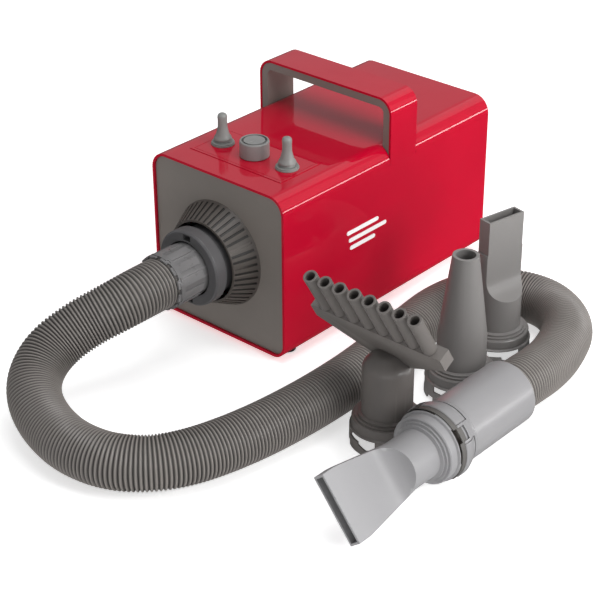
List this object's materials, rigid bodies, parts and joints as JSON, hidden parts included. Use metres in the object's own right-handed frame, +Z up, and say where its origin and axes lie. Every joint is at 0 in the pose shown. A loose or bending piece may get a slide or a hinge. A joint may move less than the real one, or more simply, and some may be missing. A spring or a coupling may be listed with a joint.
{
  "type": "air mover",
  "caption": "Box-shaped blower with a carrying handle, toggle switches, a speed knob, a ribbed hose, a handpiece and interchangeable air nozzles.",
  "frame": {"origin": "on the floor under the middle of the housing, at the centre of the four feet", "axes": "+Z up; the hose outlet faces -Y and the air intake +Y; the handpiece and the loose nozzles stand on the +X side"},
  "size_m": [0.4473, 0.6317, 0.2345],
  "materials": {
    "red_gloss": "gloss paint over moulded plastic",
    "panel_grey": "satin",
    "nozzle_grey": "satin",
    "hose_grey": "satin, ribbed",
    "control_grey": "satin",
    "boot_grey": "matt",
    "mark_white": "printed",
    "foot_rubber": "matt",
    "black_plastic": "satin",
    "screw_steel": "zinc plated",
    "motor_steel": "rolled",
    "cast_metal": "as cast",
    "copper": "wire",
    "mica": "flaky",
    "board_green": "lacquered",
    "foam_black": "open foam",
    "seal_rubber": "matt"
  },
  "bodies": {
    "housing": {"shell": "red_gloss", "front_panel": "panel_grey", "rear_panel": "panel_grey", "rear_screws": "screw_steel", "feet": "foot_rubber", "foot_studs": "screw_steel", "handle_band": "red_gloss", "handle_lining": "panel_grey", "handle_screws": "screw_steel", "side_badge": "mark_white", "power_inlet": "black_plastic", "control_plate": "red_gloss", "toggle_base_left": "boot_grey", "toggle_base_right": "boot_grey", "switch_body_left": "black_plastic", "switch_body_right": "black_plastic", "speed_pot": "black_plastic", "outlet_bezel": "panel_grey", "outlet_collar": "panel_grey", "outlet_pipe": "cast_metal", "hose_cuff": "hose_grey", "hose": "hose_grey", "hose_swivel": "hose_grey", "fan_shroud": "cast_metal", "motor_can": "motor_steel", "motor_end_bell": "cast_metal", "stator": "motor_steel", "motor_bearings": "motor_steel", "carbon_brushes": "black_plastic", "mount_rings": "seal_rubber", "motor_cradle": "black_plastic", "heater_duct": "cast_metal", "heater_frame": "mica", "heater_coil": "copper", "thermostat": "black_plastic", "control_board": "board_green", "board_standoffs": "black_plastic", "intake_ring": "panel_grey", "filter_foam": "foam_black"},
    "toggle_left": {"toggle_boot_left": "boot_grey", "toggle_lever_left": "screw_steel"},
    "toggle_right": {"toggle_boot_right": "boot_grey", "toggle_lever_right": "screw_steel"},
    "knob": {"speed_knob": "control_grey", "knob_cap": "control_grey", "speed_shaft": "screw_steel"},
    "rotor": {"impeller": "cast_metal", "armature": "motor_steel", "motor_shaft": "motor_steel"},
    "intake_cover": {"filter_cover": "panel_grey"},
    "handpiece": {"handpiece_tube": "nozzle_grey", "lock_collar": "nozzle_grey", "nozzle_spigot": "panel_grey", "lip_seal": "seal_rubber"},
    "fan_nozzle_body": {"fan_nozzle": "nozzle_grey"},
    "comb_nozzle_body": {"comb_nozzle": "nozzle_grey", "comb_tubes": "nozzle_grey"},
    "cone_nozzle_body": {"cone_nozzle": "nozzle_grey"},
    "flat_nozzle_body": {"flat_nozzle": "nozzle_grey"}
  },
  "joints": [
    {"name": "toggle_left_tilt", "type": "hinge", "parent": "housing", "child": "toggle_left", "pos_m": [-0.044, -0.109, 0.1856], "axis": [1, 0, 0], "range_deg": [-12, 12]},
    {"name": "toggle_right_tilt", "type": "hinge", "parent": "housing", "child": "toggle_right", "pos_m": [0.044, -0.109, 0.1856], "axis": [1, 0, 0], "range_deg": [-12, 12]},
    {"name": "speed_knob_turn", "type": "hinge", "parent": "housing", "child": "knob", "pos_m": [0, -0.109, 0.19], "axis": [0, 0, -1], "range_deg": [0, 270]},
    {"name": "rotor_spin", "type": "hinge", "parent": "housing", "child": "rotor", "pos_m": [0, 0, 0.096], "axis": [0, 1, 0], "continuous": true},
    {"name": "filter_cover_pull", "type": "slide", "parent": "housing", "child": "intake_cover", "axis": [0, 1, 0], "range_m": [0, 0.06]},
    {"name": "handpiece_swivel", "type": "hinge", "parent": "housing", "child": "handpiece", "pos_m": [0.32, -0.117, 0.0375], "axis": [0, 1, 0], "continuous": true},
    {"name": "fan_nozzle_twist", "type": "hinge", "parent": "handpiece", "child": "fan_nozzle_body", "pos_m": [0.32, -0.222, 0.0375], "axis": [0, 1, 0], "range_deg": [0, 34]},
    {"name": "comb_nozzle_lift", "type": "slide", "parent": "housing", "child": "comb_nozzle_body", "axis": [-0.1961, 0, 0.9806], "range_m": [0, 0.15]},
    {"name": "cone_nozzle_lift", "type": "slide", "parent": "housing", "child": "cone_nozzle_body", "axis": [0, 0, 1], "range_m": [0, 0.15]},
    {"name": "flat_nozzle_lift", "type": "slide", "parent": "housing", "child": "flat_nozzle_body", "axis": [0, 0, 1], "range_m": [0, 0.15]}
  ]
}
